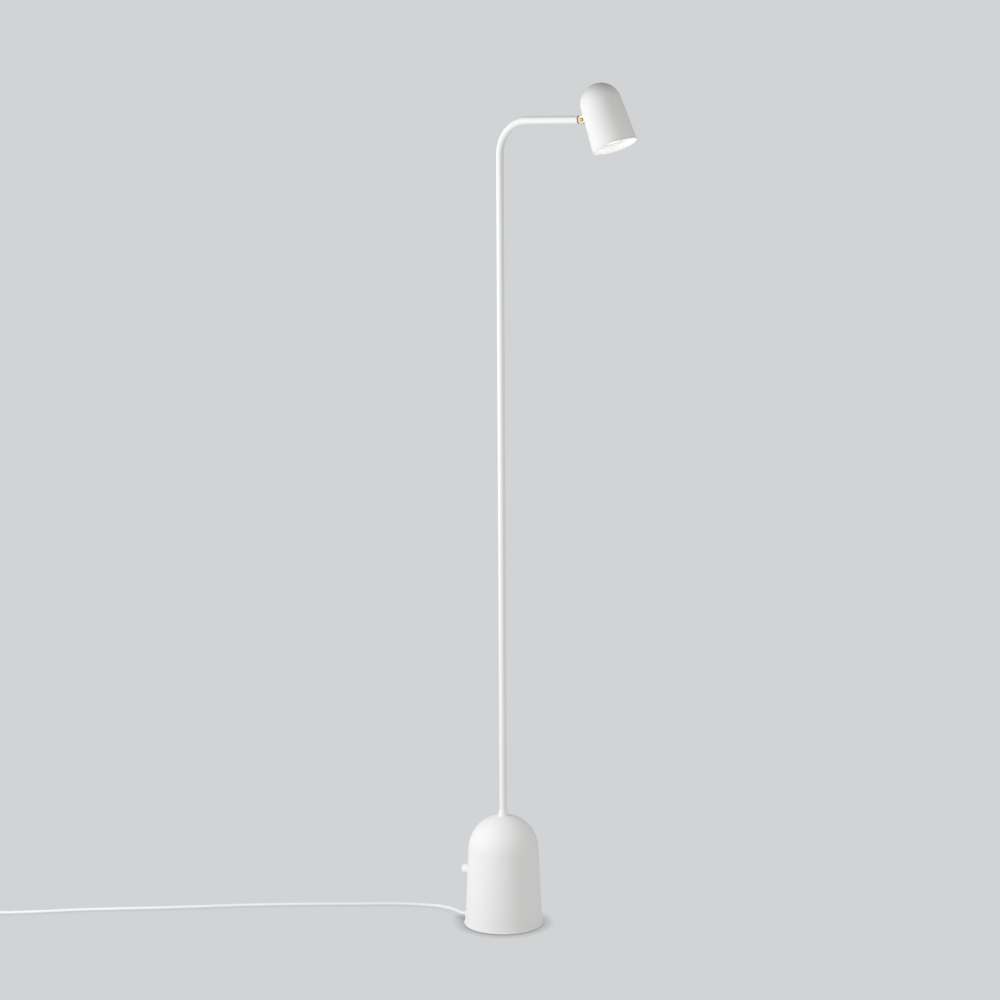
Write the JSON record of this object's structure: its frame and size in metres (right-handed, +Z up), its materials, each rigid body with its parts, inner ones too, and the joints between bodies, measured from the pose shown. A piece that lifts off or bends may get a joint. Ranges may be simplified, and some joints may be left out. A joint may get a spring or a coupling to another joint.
{
  "type": "adjustable arm floor lamp",
  "caption": "Slim floor reading lamp: weighted bell base with a dimmer knob, thin pole bent into a short arm, and a small bell-shaped head that tilts and turns on a brass knuckle.",
  "frame": {"origin": "on the floor, at the centre of the round foot pad under the pole's axis", "axes": "+Z up along the pole; +X along the arm towards the head; the knob leaves the base towards -X, turned 2 degrees towards -Y, and the lead beside it, turned 19 degrees towards -Y"},
  "size_m": [1.0096, 0.5122, 1.1798],
  "materials": {
    "white_powder_coat": "semi-matt white powder coat",
    "white_plastic": "satin white",
    "white_cable": "matt white PVC",
    "brass": "satin brass",
    "zinc_steel": "zinc plated",
    "cast_iron": "as cast",
    "black_foam": "closed-cell foam",
    "dark_plastic": "moulded black",
    "ceramic": "unglazed",
    "lamp_lens": "frosted diffuser"
  },
  "bodies": {
    "base": {"base_shell": "white_powder_coat", "pole_collar": "white_powder_coat", "pole_tube": "white_powder_coat", "terminal_block": "white_plastic", "lead_gland": "white_plastic", "plug_body": "white_plastic", "mains_lead": "white_cable", "lead_coil": "white_cable", "lead_tail": "white_cable", "inner_lead": "white_cable", "dimmer_lead": "white_cable", "pole_flex": "white_cable", "base_plate": "zinc_steel", "plate_screw_1": "zinc_steel", "plate_screw_2": "zinc_steel", "plate_screw_3": "zinc_steel", "pole_washer": "zinc_steel", "pole_nut": "zinc_steel", "terminal_screw": "zinc_steel", "dimmer_washer": "zinc_steel", "dimmer_nut": "zinc_steel", "plug_pin_1": "zinc_steel", "plug_pin_2": "zinc_steel", "base_weight": "cast_iron", "foot_pad": "black_foam", "dimmer_case": "dark_plastic"},
    "rotor": {"dimmer_rotor": "dark_plastic"},
    "knob": {"dimmer_shaft": "zinc_steel", "dimmer_knob": "white_powder_coat"},
    "knuckle": {"arm_knuckle": "brass"},
    "head": {"tilt_fork": "brass", "tilt_screw": "brass", "tilt_washer": "brass", "tilt_nut": "brass", "head_shell": "white_powder_coat", "fork_washer": "zinc_steel", "fork_nut": "zinc_steel", "lamp_bracket": "zinc_steel", "lamp_holder": "ceramic", "bracket_screw_1": "zinc_steel", "bracket_screw_2": "zinc_steel", "lamp_body": "white_plastic", "lamp_lens": "lamp_lens", "lamp_pin_1": "zinc_steel", "lamp_pin_2": "zinc_steel"}
  },
  "joints": [
    {"name": "dimmer_turn", "type": "hinge", "parent": "base", "child": "rotor", "pos_m": [-0.05171, -0.00181, 0.0678], "axis": [-0.9983, -0.0349, 0.0462], "range_deg": [0, 270]},
    {"name": "dimmer_push", "type": "slide", "parent": "rotor", "child": "knob", "axis": [0.9983, 0.0349, -0.0462], "range_m": [0, 0.001], "stiffness_N_per_m": 1500, "springref_m": -0.001},
    {"name": "head_swivel", "type": "hinge", "parent": "base", "child": "knuckle", "pos_m": [0.131, 0, 1.132], "axis": [1, 0, 0], "range_deg": [-150, 150]},
    {"name": "head_tilt", "type": "hinge", "parent": "knuckle", "child": "head", "pos_m": [0.1385, 0, 1.132], "axis": [0, 1, 0], "range_deg": [-68, 62]}
  ]
}
